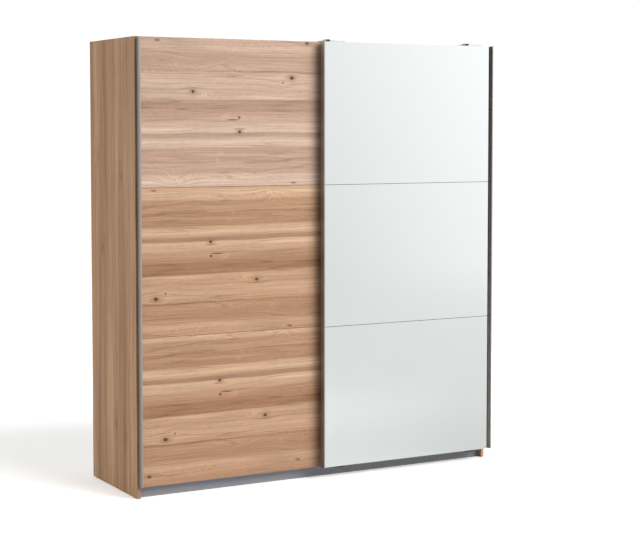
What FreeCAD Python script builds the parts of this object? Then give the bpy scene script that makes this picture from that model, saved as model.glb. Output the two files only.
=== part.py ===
import FreeCAD, Part
import os

import Sketcher
from FreeCAD import Placement, Rotation, Vector

# Sliding door wardrobe. The frame has +Z up, +X to the right and the doors facing -Y. Its origin is on the
# floor under the centre of the whole wardrobe. The left door runs on the rear track and the right door, with
# the mirrors, on the front one, far enough forward for each door's handle lip to pass behind it.

doc = FreeCAD.newDocument("SlidingDoorWardrobe")
dim = doc.addObject("Spreadsheet::Sheet", "dim")

DIMENSIONS = {
    # carcass
    "width": 1796,
    "side_top": 1972,
    "carcass_depth": 520,
    "board": 16,
    "glide": 3,
    "glide_radius": 7.5,
    "glide_inset": 40,
    "glide_nail_radius": 1.2,
    "glide_nail_length": 15,
    "glide_nail_tip": 2,
    "bottom_low": 64,
    "roof_low": 1906,
    "plinth_recess": 35,
    "plinth_rear_recess": 20,
    "back_sheet": 3,
    "back_edge_gap": 2,
    "strip_wall": 1,
    "strip_reach": 12,
    # interior
    "shelf_low": 1640,
    "shelf_setback": 25,
    "shelf_back_gap": 6,
    "shelf_play": 0.5,
    "rail_height": 1580,
    "rail_radius": 12.5,
    "rail_wall": 1.2,
    "cup_flange": 3,
    "cup_flange_radius": 22,
    "cup_radius": 15.5,
    "cup_depth": 12,
    # doors
    "door_low": 56,
    "door_height": 1914,
    "door_inset": 8,
    "door_overlap": 48,
    "door_gap": 3,
    "lip_clearance": 2.5,
    "profile_depth": 19,
    "profile_back": 19,
    "profile_face": 5,
    "profile_wall": 1.5,
    "lip_reach": 14,
    "lip_face": 5,
    "board_play": 0.5,
    "mirror_pane": 4,
    "seam": 2,
    "seam_recess": 1,
    "seam_flange": 15,
    # tracks
    "track_start": 2,
    "track_depth": 46,
    "track_base": 2,
    "ridge_thick": 3,
    "ridge_height": 8,
    "rear_ridge": 12,
    "front_ridge": 34,
    "guide_height": 10,
    "guide_wall": 2,
    "groove": 8,
    "stop_length": 14,
    "stop_height": 12,
    "stop_depth": 10,
    # rollers, axles and door fittings
    "roller_radius": 11,
    "flange_radius": 14,
    "roller_width": 9,
    "flange_edge": 1.8,
    "flange_root": 2.6,
    "ridge_clearance": 0.3,
    "axle_radius": 3,
    "axle_play": 0.05,
    "collar_radius": 5,
    "collar_gap": 0.3,
    "axle_head": 1.5,
    "plate": 2,
    "hanger_length": 96,
    "hanger_left": 28,
    "hanger_right": 44,
    "hanger_drop": 92,
    "rear_hanger_top": 1965,
    "web_low": 1974,
    "web_thick": 3,
    "drop_start": 42,
    "drop_thick": 2.5,
    "drop_below_axle": 12,
    "roller_spacing": 64,
    "block_length": 16,
    "block_top": 1980,
    "block_low": 1971,
    "block_front": 7.5,
    "block_back": 28,
    "guide_length": 46,
    "guide_left": 78,
    "guide_top": 92,
    "fin": 4,
    "fin_top": 60,
    "rear_arm_low": 51,
    "rear_arm_thick": 2,
    "front_arm_low": 47,
    "front_arm_thick": 2.5,
    # fasteners
    "screw_radius": 1.7,
    "screw_head": 3.2,
    "screw_length": 10.5,
    "track_screw_inset": 60,
    "strip_screw_inset": 30,
    "plate_screw_inset": 12,
    "hanger_screw_rise": 60,
    "flange_screw_shift": 1,
    "nail_radius": 0.9,
    "nail_head": 2.5,
    "nail_head_thick": 0.8,
    "nail_length": 16,
    "nail_edge_inset": 40,
    "nail_level_inset": 6,
    "nail_side_inset": 9,
    "nail_pair_reach": 4,
    "dowel_radius": 4,
    "dowel_length": 30,
    "dowel_in_side": 10,
    "dowel_inset": 125,
    "chamfer": 1,
    "pin_radius": 2.5,
    "pin_length": 15,
    "pin_in_side": 7,
    "cam_radius": 7.5,
    "cam_thick": 12.5,
    "cam_setback": 24,
    "cam_inset": 80,
    "cam_slot_wall": 2,
    "cam_slot_depth": 1.5,
    "cam_slot_width": 1.6,
    "bolt_in_side": 10,
    "bolt_thread": 3,
    "bolt_shank": 2.6,
    "bolt_neck": 1.8,
    "bolt_neck_length": 3,
    "bolt_head": 3.2,
    "bracket_length": 40,
    "bracket_leg": 40,
    "bracket_bore": 2.75,
    "bracket_bore_rise": 28,
    "bracket_screw_inset": 28,
}
for row, (alias, value) in enumerate(DIMENSIONS.items(), 1):
    dim.set(f"A{row}", alias)
    dim.set(f"B{row}", str(value))
    dim.setAlias(f"B{row}", alias)
doc.recompute()

# Places worked out from the driving dimensions, as expressions in millimetres.
OUTER_RIGHT = "dim.width / 2"
OUTER_LEFT = f"-{OUTER_RIGHT}"
INNER_RIGHT = f"({OUTER_RIGHT} - dim.board)"
INNER_LEFT = f"(-{INNER_RIGHT})"
INNER_WIDTH = "(dim.width - 2 * dim.board)"
CELL_WIDTH = f"(({INNER_WIDTH} - dim.board) / 2)"
DOOR_REACH = "(dim.door_gap + 2 * (dim.profile_depth + dim.lip_reach) + dim.lip_clearance)"
BACK_REACH = "(dim.back_sheet + dim.strip_wall)"
SIDE_FRONT = f"(({DOOR_REACH} - dim.carcass_depth - {BACK_REACH}) / 2)"
SIDE_BACK = f"({SIDE_FRONT} + dim.carcass_depth)"
BACK_PLANE = f"({SIDE_BACK} + {BACK_REACH})"
FLOOR_TOP = "(dim.bottom_low + dim.board)"
ROOF_TOP = "(dim.roof_low + dim.board)"
REAR_DOOR_BACK = f"({SIDE_FRONT} - dim.door_gap)"
FRONT_DOOR_BACK = f"({REAR_DOOR_BACK} - dim.profile_depth - dim.lip_reach - dim.lip_clearance)"
DOOR_WIDTH = "((dim.width - 2 * dim.door_inset + dim.door_overlap) / 2)"
LEFT_DOOR_EDGE = f"({OUTER_LEFT} + dim.door_inset)"
RIGHT_DOOR_EDGE = f"({OUTER_RIGHT} - dim.door_inset - {DOOR_WIDTH})"
PANEL_HEIGHT = "((dim.door_height - 2 * dim.seam) / 3)"
PANEL_START = "(dim.profile_wall + dim.board_play)"
PANEL_WIDTH = f"({DOOR_WIDTH} - 2 * {PANEL_START})"
STRIP_LENGTH = f"({DOOR_WIDTH} - 2 * dim.profile_back)"
AXLE_HEIGHT = (
    f"({ROOF_TOP} + dim.track_base + dim.ridge_height + dim.ridge_clearance + dim.roller_radius)"
)
HANGER_STARTS = ("dim.hanger_left", f"({DOOR_WIDTH} - dim.hanger_right - dim.hanger_length)")
GUIDE_STARTS = ("dim.guide_left", f"({DOOR_WIDTH} - dim.guide_left - dim.guide_length)")
ROLLER_STEPS = (
    "(dim.hanger_length - dim.roller_spacing) / 2",
    "(dim.hanger_length + dim.roller_spacing) / 2",
)

PLAIN = Rotation()
TO_PLUS_Z = Rotation(Vector(1, 0, 0), 90)
TO_MINUS_Z = Rotation(Vector(1, 0, 0), -90)
TO_MINUS_Y = Rotation(Vector(1, 0, 0), 180)
TO_PLUS_X = Rotation(Vector(0, 0, 1), -90)
TO_MINUS_X = Rotation(Vector(0, 0, 1), 90)
nodes = []


# ---- shared makers -------------------------------------------------------------------------------
def number(expression):
    """The present value of an expression, for the first guess of a sketch."""
    return float(dim.evalExpression(str(expression)))


def place(part, low, turn=PLAIN):
    """Binds the part's base to three expressions and turns it there."""
    part.Placement = Placement(Vector(), turn)
    for axis, expression in zip("xyz", low):
        part.setExpression(f"Placement.Base.{axis}", str(expression))
    return part


def keep(part):
    """Lists a sub-part for writing out."""
    part.Label = part.Name
    nodes.append(part)
    return part


def box(name, low, size):
    part = doc.addObject("Part::Box", name)
    for side, expression in zip(("Length", "Width", "Height"), size):
        part.setExpression(side, str(expression))
    return place(part, low)


def origin_plane(body, role):
    return next(feature for feature in body.Origin.OriginFeatures if feature.Role == role)


def outline(body, role, points):
    """A closed, fully dimensioned polygon on one of the body's own planes."""
    sketch = body.newObject("Sketcher::SketchObject", f"{body.Name}_outline")
    sketch.AttachmentSupport = (origin_plane(body, role), [""])
    sketch.MapMode = "FlatFace"
    corners = [Vector(number(across), number(along), 0) for across, along in points]
    count = len(corners)
    for index, corner in enumerate(corners):
        sketch.addGeometry(Part.LineSegment(corner, corners[(index + 1) % count]), False)
    for index in range(count):
        sketch.addConstraint(Sketcher.Constraint("Coincident", index, 2, (index + 1) % count, 1))
    for index, (point, corner) in enumerate(zip(points, corners)):
        for kind, expression, guess in zip(("DistanceX", "DistanceY"), point, corner):
            size = sketch.addConstraint(Sketcher.Constraint(kind, -1, 1, index, 1, guess))
            sketch.setExpression(f"Constraints[{size}]", str(expression))
    return sketch


def extrusion(name, role, points, length):
    """A body padded from a polygon: upwards from XY_Plane, or along +X from YZ_Plane."""
    body = doc.addObject("PartDesign::Body", name)
    pad = body.newObject("PartDesign::Pad", f"{name}_pad")
    pad.Profile = outline(body, role, points)
    pad.setExpression("Length", str(length))
    return body


def turned(name, points):
    """A body turned about its Y axis from (radius, distance along Y) points."""
    body = doc.addObject("PartDesign::Body", name)
    turning = body.newObject("PartDesign::Revolution", f"{name}_turning")
    sketch = outline(body, "XY_Plane", points)
    turning.Profile = sketch
    turning.ReferenceAxis = (sketch, ["V_Axis"])
    return body


def group(name, parts):
    compound = doc.addObject("Part::Compound", name)
    compound.Links = parts
    return compound


def copies(name, master, places):
    """Separate solids of one master, grouped: each place is (x, y, z) or ((x, y, z), turn)."""
    links = []
    for index, spot in enumerate(places, 1):
        low, turn = spot if len(spot) == 2 else (spot, PLAIN)
        link = doc.addObject("App::Link", f"{name}_{index}")
        link.LinkedObject = master
        links.append(place(link, low, turn))
    return group(name, links)


def cut(name, base, tool):
    """The base with the tool's solids taken out of it."""
    difference = doc.addObject("Part::Cut", name)
    difference.Base = base
    difference.Tool = tool
    return difference


# ---- fasteners and small fittings: one master each -----------------------------------------------
# Turned masters lie along +Y, with the surface that they are driven into at Y = 0 and the tip at +Y.
screw = turned(
    "screw",
    [
        (0, 0),
        ("dim.screw_head", 0),
        ("dim.screw_radius", "dim.profile_wall"),
        ("dim.screw_radius", "dim.screw_length - dim.screw_radius"),
        (0, "dim.screw_length"),
    ],
)
nail = turned(
    "nail",
    [
        (0, "-dim.nail_head_thick"),
        ("dim.nail_head", "-dim.nail_head_thick"),
        ("dim.nail_head", 0),
        ("dim.nail_radius", 0),
        ("dim.nail_radius", "dim.nail_length - dim.nail_radius"),
        (0, "dim.nail_length"),
    ],
)
dowel = turned(
    "dowel",
    [
        (0, "-dim.dowel_in_side"),
        ("dim.dowel_radius - dim.chamfer", "-dim.dowel_in_side"),
        ("dim.dowel_radius", "dim.chamfer - dim.dowel_in_side"),
        ("dim.dowel_radius", "dim.dowel_length - dim.dowel_in_side - dim.chamfer"),
        ("dim.dowel_radius - dim.chamfer", "dim.dowel_length - dim.dowel_in_side"),
        (0, "dim.dowel_length - dim.dowel_in_side"),
    ],
)
shelf_pin = turned(
    "shelf_pin",
    [
        (0, "-dim.pin_in_side"),
        ("dim.pin_radius", "-dim.pin_in_side"),
        ("dim.pin_radius", "dim.pin_length - dim.pin_in_side"),
        (0, "dim.pin_length - dim.pin_in_side"),
    ],
)
cam_bolt = turned(
    "cam_bolt",
    [
        (0, "-dim.bolt_in_side"),
        ("dim.bolt_thread", "-dim.bolt_in_side"),
        ("dim.bolt_thread", 0),
        ("dim.bolt_shank", 0),
        ("dim.bolt_shank", "dim.cam_setback - dim.bolt_neck_length - dim.chamfer"),
        ("dim.bolt_neck", "dim.cam_setback - dim.bolt_neck_length"),
        ("dim.bolt_neck", "dim.cam_setback"),
        ("dim.bolt_head", "dim.cam_setback"),
        ("dim.bolt_head", "dim.cam_setback + dim.bolt_neck_length"),
        (0, "dim.cam_setback + dim.bolt_neck_length"),
    ],
)
cam_blank = turned(
    "cam_blank",
    [
        (0, 0),
        ("dim.cam_radius", 0),
        ("dim.cam_radius", "dim.cam_thick"),
        (0, "dim.cam_thick"),
    ],
)
cam_slot = box(
    "cam_slot",
    ("dim.cam_slot_wall - dim.cam_radius", 0, "-dim.cam_slot_width / 2"),
    ("2 * (dim.cam_radius - dim.cam_slot_wall)", "dim.cam_slot_depth", "dim.cam_slot_width"),
)
cam_lock = cut("cam_lock", cam_blank, cam_slot)
foot_glide = turned(
    "foot_glide",
    [
        (0, "-dim.glide"),
        ("dim.glide_radius - dim.chamfer", "-dim.glide"),
        ("dim.glide_radius", "dim.chamfer - dim.glide"),
        ("dim.glide_radius", 0),
        ("dim.glide_nail_radius", 0),
        ("dim.glide_nail_radius", "dim.glide_nail_length - dim.glide_nail_tip"),
        (0, "dim.glide_nail_length"),
    ],
)

# ---- carcass fasteners ---------------------------------------------------------------------------
CAM_ROWS = (f"{SIDE_FRONT} + dim.cam_inset", f"{SIDE_BACK} - dim.cam_inset")
DOWEL_ROWS = (f"{SIDE_FRONT} + dim.dowel_inset", f"{SIDE_BACK} - dim.dowel_inset")
GLIDE_ROWS = (f"{SIDE_FRONT} + dim.glide_inset", f"{SIDE_BACK} - dim.glide_inset")
LEVELS = ("dim.bottom_low + dim.board / 2", "dim.roof_low + dim.board / 2")
PARTITION_ENDS = ((FLOOR_TOP, TO_PLUS_Z, 1), ("dim.roof_low", TO_MINUS_Z, -1))
PLINTH_FRONTS = (
    f"({SIDE_FRONT} + dim.plinth_recess)",
    f"({SIDE_BACK} - dim.plinth_rear_recess - dim.board)",
)


def carcass_joints():
    """Places of the cam bolts, cam locks and dowels that join the boards."""
    bolts, cams, pegs = [], [], []
    for edge, turn, way in ((INNER_LEFT, TO_PLUS_X, 1), (INNER_RIGHT, TO_MINUS_X, -1)):
        for level in LEVELS:
            bolts += [((edge, row, level), turn) for row in CAM_ROWS]
            pegs += [((edge, row, level), turn) for row in DOWEL_ROWS]
        cam_x = f"{edge} + {way} * dim.cam_setback"
        cams += [((cam_x, row, "dim.bottom_low"), TO_PLUS_Z) for row in CAM_ROWS]
        cams += [((cam_x, row, ROOF_TOP), TO_MINUS_Z) for row in CAM_ROWS]
        for front in PLINTH_FRONTS:
            pegs.append(((edge, f"{front} + dim.board / 2", "dim.bottom_low / 2"), turn))
    for end, turn, way in PARTITION_ENDS:
        bolts += [((0, row, end), turn) for row in CAM_ROWS]
        pegs += [((0, row, end), turn) for row in DOWEL_ROWS]
        cam_z = f"{end} + {way} * dim.cam_setback"
        cams += [(("dim.board / 2", row, cam_z), TO_MINUS_X) for row in CAM_ROWS]
    return bolts, cams, pegs


bolt_places, cam_places, dowel_places = carcass_joints()
cam_bolts = keep(copies("cam_bolts", cam_bolt, bolt_places))
cam_locks = keep(cut("cam_locks", copies("cam_lock_blanks", cam_lock, cam_places), cam_bolts))
dowels = keep(copies("dowels", dowel, dowel_places))

glide_places = [
    ((f"{side} * (dim.width - dim.board) / 2", row, "dim.glide"), TO_PLUS_Z)
    for side in (-1, 1)
    for row in GLIDE_ROWS
]
foot_glides = keep(copies("foot_glides", foot_glide, glide_places))


def pin_places():
    """Four pins under each hat shelf, two at each end."""
    level = "dim.shelf_low - dim.pin_radius"
    faces = (
        (INNER_LEFT, TO_PLUS_X),
        ("-dim.board / 2", TO_MINUS_X),
        ("dim.board / 2", TO_PLUS_X),
        (INNER_RIGHT, TO_MINUS_X),
    )
    # The two pins that share a row on the partition meet back to back inside it.
    return [((face, row, level), turn) for face, turn in faces for row in CAM_ROWS]


shelf_pins = keep(copies("shelf_pins", shelf_pin, pin_places()))


# ---- hanging rails -------------------------------------------------------------------------------
RAIL_Y = f"({SIDE_FRONT} + dim.carcass_depth / 2)"
CELL_STARTS = {"left": INNER_LEFT, "right": "(dim.board / 2)"}


def tube(name, low):
    """The hanging rail: two cylinders along X, the inner one taken out."""
    length = f"{CELL_WIDTH} - 2 * dim.cup_flange"
    solids = []
    for kind, radius in (("skin", "dim.rail_radius"), ("core", "dim.rail_radius - dim.rail_wall")):
        solid = doc.addObject("Part::Cylinder", f"{name}_{kind}")
        solid.setExpression("Radius", radius)
        solid.setExpression("Height", length)
        solids.append(place(solid, low, Rotation(Vector(0, 1, 0), 90)))
    return keep(cut(name, *solids))


for cell, start in CELL_STARTS.items():
    tube(f"{cell}_hanging_rail", (f"{start} + dim.cup_flange", RAIL_Y, "dim.rail_height"))

cup = turned(
    "cup",
    [
        (0, 0),
        ("dim.cup_flange_radius", 0),
        ("dim.cup_flange_radius", "dim.cup_flange"),
        ("dim.cup_radius", "dim.cup_flange"),
        ("dim.cup_radius", "dim.cup_flange + dim.cup_depth"),
        ("dim.rail_radius", "dim.cup_flange + dim.cup_depth"),
        ("dim.rail_radius", "dim.cup_flange"),
        (0, "dim.cup_flange"),
    ],
)


def cup_places():
    """Each cup's place with its turn, and the places of the two screws through its flange."""
    cups, screws = [], []
    reach = "(dim.cup_flange_radius + dim.cup_radius) / 2"
    for start in CELL_STARTS.values():
        ends = (
            (start, TO_PLUS_X, f"{start} + dim.cup_flange", TO_MINUS_X),
            (
                f"{start} + {CELL_WIDTH}",
                TO_MINUS_X,
                f"{start} + {CELL_WIDTH} - dim.cup_flange",
                TO_PLUS_X,
            ),
        )
        for wall, into_cell, flange, into_wall in ends:
            cups.append(((wall, RAIL_Y, "dim.rail_height"), into_cell))
            for sign in ("+", "-"):
                screws.append(((flange, RAIL_Y, f"dim.rail_height {sign} {reach}"), into_wall))
    return cups, screws


cup_spots, cup_screw_spots = cup_places()

# ---- tracks --------------------------------------------------------------------------------------
TRACK_FRONT = f"({SIDE_FRONT} + dim.track_start)"


def running_rail_section():
    """A flat base with one ridge for each door's rollers, from its front lower corner."""
    points = [(0, 0), ("dim.track_depth", 0), ("dim.track_depth", "dim.track_base")]
    top = "dim.track_base + dim.ridge_height"
    for ridge in ("dim.front_ridge", "dim.rear_ridge"):
        middle = f"{ridge} - dim.track_start"
        points.append((f"{middle} + dim.ridge_thick / 2", "dim.track_base"))
        points.append((f"{middle} + dim.ridge_thick / 2", top))
        points.append((f"{middle} - dim.ridge_thick / 2", top))
        points.append((f"{middle} - dim.ridge_thick / 2", "dim.track_base"))
    points.append((0, "dim.track_base"))
    return points


def guide_rail_section():
    """A top plate with two grooves that open downwards, from its front lower corner."""
    points = []
    pitch = "(2 * dim.guide_wall + dim.groove)"
    for start in ("0", f"({pitch} + dim.groove)"):
        points.append((start, 0))
        points.append((f"{start} + dim.guide_wall", 0))
        points.append((f"{start} + dim.guide_wall", "dim.guide_height - dim.guide_wall"))
        points.append(
            (f"{start} + {pitch} - dim.guide_wall", "dim.guide_height - dim.guide_wall")
        )
        points.append((f"{start} + {pitch} - dim.guide_wall", 0))
        points.append((f"{start} + {pitch}", 0))
        if start == "0":
            points.append((pitch, "dim.guide_height - dim.guide_wall"))
            points.append((f"{pitch} + dim.groove", "dim.guide_height - dim.guide_wall"))
    points.append((f"2 * {pitch} + dim.groove", "dim.guide_height"))
    points.append((0, "dim.guide_height"))
    return points


rail_blank = place(
    extrusion("running_rail_blank", "YZ_Plane", running_rail_section(), INNER_WIDTH),
    (INNER_LEFT, TRACK_FRONT, ROOF_TOP),
)
guide_blank = place(
    extrusion("guide_rail_blank", "YZ_Plane", guide_rail_section(), INNER_WIDTH),
    (INNER_LEFT, TRACK_FRONT, "dim.bottom_low - dim.guide_height"),
)
TRACK_SCREWS = 6
BRACKET_SCREW_ROW = f"{BACK_PLANE} - dim.bracket_screw_inset"
BRACKET_LEFT_EDGES = ("-dim.width / 3 - dim.bracket_length / 2", "dim.width / 3 - dim.bracket_length / 2")


def carcass_screw_places():
    """Screws down through the running rail, up through the guide rail, and into the brackets and cups."""
    spots = list(cup_screw_spots)
    between_ridges = f"{SIDE_FRONT} + (dim.rear_ridge + dim.front_ridge) / 2"
    between_grooves = f"{TRACK_FRONT} + 2 * dim.guide_wall + 1.5 * dim.groove"
    guide_face = "dim.bottom_low - dim.guide_wall"
    pitch = f"({INNER_WIDTH} - 2 * dim.track_screw_inset) / {TRACK_SCREWS - 1}"
    for step in range(TRACK_SCREWS):
        along = f"{INNER_LEFT} + dim.track_screw_inset + {step} * {pitch}"
        spots.append(((along, between_ridges, f"{ROOF_TOP} + dim.track_base"), TO_MINUS_Z))
        spots.append(((along, between_grooves, guide_face), TO_PLUS_Z))
    for edge in BRACKET_LEFT_EDGES:
        for across in ("dim.bracket_length / 4", "3 * dim.bracket_length / 4"):
            spot = (f"{edge} + {across}", BRACKET_SCREW_ROW, f"{ROOF_TOP} + dim.plate")
            spots.append((spot, TO_MINUS_Z))
    return spots


carcass_screws = keep(copies("carcass_screws", screw, carcass_screw_places()))
keep(cut("top_running_rail", rail_blank, carcass_screws))
keep(cut("bottom_guide_rail", guide_blank, carcass_screws))
keep(cut("hanging_rail_cups", copies("cup_blanks", cup, cup_spots), carcass_screws))


# ---- end stops on the running rail ---------------------------------------------------------------
def roller_places(door_edge, centre):
    """The axle places of one door's four rollers, each on its ridge."""
    return [
        (f"{door_edge} + {start} + {step}", centre, AXLE_HEIGHT)
        for start in HANGER_STARTS
        for step in ROLLER_STEPS
    ]


DOOR_TRAVEL = 850
STOP_PLAY = 2
REAR_TRACK = f"({SIDE_FRONT} + dim.rear_ridge)"
FRONT_TRACK = f"({SIDE_FRONT} + dim.front_ridge)"
left_rollers = roller_places(LEFT_DOOR_EDGE, REAR_TRACK)
right_rollers = roller_places(RIGHT_DOOR_EDGE, FRONT_TRACK)


def stop_places():
    """One stop beyond each end of travel of the outer rollers, for both tracks."""
    runs = (
        (left_rollers, REAR_TRACK, 0, DOOR_TRAVEL),
        (right_rollers, FRONT_TRACK, -DOOR_TRAVEL, 0),
    )
    spots = []
    for rollers, track, leftmost, rightmost in runs:
        front = f"{track} - dim.stop_depth / 2"
        low = f"{ROOF_TOP} + dim.track_base"
        reach = f"dim.flange_radius + {STOP_PLAY}"
        spots.append((f"{rollers[0][0]} + {leftmost} - ({reach}) - dim.stop_length", front, low))
        spots.append((f"{rollers[-1][0]} + {rightmost} + {reach}", front, low))
    return spots


stop_master = box("stop_blank", (0, 0, 0), ("dim.stop_length", "dim.stop_depth", "dim.stop_height"))
keep(cut("track_stops", copies("stop_blanks", stop_master, stop_places()), rail_blank))


# ---- back: four thin sheets, two joining strips and nails ----------------------------------------
SHEETS = 4
NAILS_ALONG_SHEET = 3
NAILS_UP_SIDE = 8
SHEET_LOW = "(dim.bottom_low + dim.back_edge_gap)"
SHEET_HEIGHT = f"({ROOF_TOP} - dim.bottom_low - 2 * dim.back_edge_gap)"
SHEET_SPAN = f"(dim.width - 2 * dim.back_edge_gap - {SHEETS - 1} * dim.strip_wall)"
SHEET_WIDTH = f"({SHEET_SPAN} / {SHEETS})"


def sheet_start(index):
    return f"({OUTER_LEFT} + dim.back_edge_gap + {index} * ({SHEET_WIDTH} + dim.strip_wall))"


def nail_places():
    """Nails into the roof and floor boards, the sides and the partition."""
    spots = []
    low, high = "dim.nail_level_inset", f"{SHEET_HEIGHT} - dim.nail_level_inset"
    pitch = f"({SHEET_WIDTH} - 2 * dim.nail_edge_inset) / {NAILS_ALONG_SHEET - 1}"
    for level in (f"{SHEET_LOW} + {low}", f"{SHEET_LOW} + {high}"):
        for sheet in range(SHEETS):
            for step in range(NAILS_ALONG_SHEET):
                spots.append((f"{sheet_start(sheet)} + dim.nail_edge_inset + {step} * {pitch}", level))
    columns = (
        f"{OUTER_LEFT} + dim.nail_side_inset",
        "-dim.nail_pair_reach",
        "dim.nail_pair_reach",
        f"{OUTER_RIGHT} - dim.nail_side_inset",
    )
    rise = f"{SHEET_HEIGHT} / {NAILS_UP_SIDE + 1}"
    for column in columns:
        for step in range(1, NAILS_UP_SIDE + 1):
            spots.append((column, f"{SHEET_LOW} + {step} * {rise}"))
    surface = f"{SIDE_BACK} + dim.back_sheet"
    return [((along, surface, level), TO_MINUS_Y) for along, level in spots]


back_nails = keep(copies("back_nails", nail, nail_places()))
for index in range(SHEETS):
    sheet = box(
        f"back_sheet_{index + 1}",
        (sheet_start(index), SIDE_BACK, SHEET_LOW),
        (SHEET_WIDTH, "dim.back_sheet", SHEET_HEIGHT),
    )
    keep(cut(f"back_panel_{index + 1}", sheet, back_nails))

half_web, half_reach = "dim.strip_wall / 2", "dim.strip_reach / 2"
outer_face = "dim.back_sheet + dim.strip_wall"
joining_strip = extrusion(
    "joining_strip",
    "XY_Plane",
    [
        (f"-{half_reach}", "-dim.strip_wall"),
        (half_reach, "-dim.strip_wall"),
        (half_reach, 0),
        (half_web, 0),
        (half_web, "dim.back_sheet"),
        (half_reach, "dim.back_sheet"),
        (half_reach, outer_face),
        (f"-{half_reach}", outer_face),
        (f"-{half_reach}", "dim.back_sheet"),
        (f"-{half_web}", "dim.back_sheet"),
        (f"-{half_web}", 0),
        (f"-{half_reach}", 0),
    ],
    f"dim.roof_low - {FLOOR_TOP}",
)
strip_places = [
    (f"{sheet_start(index)} - {half_web}", SIDE_BACK, FLOOR_TOP) for index in (1, 3)
]
keep(copies("back_joining_strips", joining_strip, strip_places))

# ---- wall brackets -------------------------------------------------------------------------------
bracket = extrusion(
    "bracket",
    "YZ_Plane",
    [
        ("-dim.bracket_leg", 0),
        (0, 0),
        (0, "dim.bracket_leg"),
        ("-dim.plate", "dim.bracket_leg"),
        ("-dim.plate", "dim.plate"),
        ("-dim.bracket_leg", "dim.plate"),
    ],
    "dim.bracket_length",
)
bracket_drill = doc.addObject("Part::Cylinder", "bracket_drill")
bracket_drill.setExpression("Radius", "dim.bracket_bore")
bracket_drill.setExpression("Height", "3 * dim.plate")
place(bracket_drill, ("dim.bracket_length / 2", "dim.plate", "dim.bracket_bore_rise"), TO_PLUS_Z)
bored_bracket = cut("bored_bracket", bracket, bracket_drill)
bracket_places = [(edge, BACK_PLANE, ROOF_TOP) for edge in BRACKET_LEFT_EDGES]
keep(cut("wall_brackets", copies("bracket_pair", bored_bracket, bracket_places), carcass_screws))

# ---- carcass boards ------------------------------------------------------------------------------
carcass_hardware = group(
    "carcass_hardware",
    [
        cam_bolts,
        copies("cam_pockets", cam_blank, cam_places),
        dowels,
        foot_glides,
        shelf_pins,
        carcass_screws,
        back_nails,
    ],
)


def carcass_board(name, low, size):
    """A board with the holes that its joints, pins, screws and nails need."""
    return keep(cut(name, box(f"{name}_blank", low, size), carcass_hardware))


side_size = ("dim.board", "dim.carcass_depth", "dim.side_top - dim.glide")
carcass_board("left_side_panel", (OUTER_LEFT, SIDE_FRONT, "dim.glide"), side_size)
carcass_board("right_side_panel", (INNER_RIGHT, SIDE_FRONT, "dim.glide"), side_size)
level_size = (INNER_WIDTH, "dim.carcass_depth", "dim.board")
carcass_board("top_panel", (INNER_LEFT, SIDE_FRONT, "dim.roof_low"), level_size)
carcass_board("bottom_panel", (INNER_LEFT, SIDE_FRONT, "dim.bottom_low"), level_size)
carcass_board(
    "centre_partition",
    ("-dim.board / 2", SIDE_FRONT, FLOOR_TOP),
    ("dim.board", "dim.carcass_depth", f"dim.roof_low - {FLOOR_TOP}"),
)
for name, front in zip(("front_plinth", "rear_plinth"), PLINTH_FRONTS):
    carcass_board(name, (INNER_LEFT, front, 0), (INNER_WIDTH, "dim.board", "dim.bottom_low"))
for cell, start in CELL_STARTS.items():
    shelf = box(
        f"{cell}_shelf",
        (f"{start} + dim.shelf_play", f"{SIDE_FRONT} + dim.shelf_setback", "dim.shelf_low"),
        (
            f"{CELL_WIDTH} - 2 * dim.shelf_play",
            "dim.carcass_depth - dim.shelf_setback - dim.shelf_back_gap",
            "dim.board",
        ),
    )
    keep(shelf)


# ---- door profiles and panels --------------------------------------------------------------------
def profile_section(way, lipped):
    """A channel round the door's edge, wide behind and narrow in front, with a hooked lip if lipped.

    X runs inwards from the door's edge when way is 1 and outwards from it when way is -1.
    """
    wall, depth = "dim.profile_wall", "dim.profile_depth"
    channel = [
        ("0", "0"),
        ("dim.profile_back", "0"),
        ("dim.profile_back", f"-{wall}"),
        (wall, f"-{wall}"),
        (wall, f"{wall} - {depth}"),
        ("dim.profile_face", f"{wall} - {depth}"),
        ("dim.profile_face", f"-{depth}"),
    ]
    if lipped:
        channel += [
            (wall, f"-{depth}"),
            (wall, f"{wall} - {depth} - dim.lip_reach"),
            ("dim.lip_face", f"{wall} - {depth} - dim.lip_reach"),
            ("dim.lip_face", f"-{depth} - dim.lip_reach"),
            ("0", f"-{depth} - dim.lip_reach"),
        ]
    else:
        channel.append(("0", f"-{depth}"))
    return [(f"{way} * {across}", along) for across, along in channel]


def seam_strip():
    """A thin fin between two panels, from profile to profile, on a flat bar behind them."""
    tip = "(dim.profile_wall + dim.seam_recess - dim.profile_depth)"
    fin = box(
        "seam_fin",
        (0, tip, "-dim.seam / 2"),
        (PANEL_WIDTH, f"-dim.profile_wall - {tip}", "dim.seam"),
    )
    bar = box(
        "seam_bar",
        (f"dim.profile_back - {PANEL_START}", "-dim.profile_wall", "-dim.seam_flange"),
        (STRIP_LENGTH, "dim.profile_wall", "2 * dim.seam_flange"),
    )
    strip = doc.addObject("Part::Fuse", "seam_strip")
    strip.Base = bar
    strip.Tool = fin
    return strip


strip_master = seam_strip()
PANEL_NAMES = ("bottom", "middle", "top")
EDGE_SCREW_SHARES = (0.12, 0.88)
STRIP_SCREWS = 4
HANGER_LOW = "(dim.door_low + dim.door_height - dim.hanger_drop)"


def panel_low(index):
    return f"(dim.door_low + {index} * ({PANEL_HEIGHT} + dim.seam))"


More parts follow.
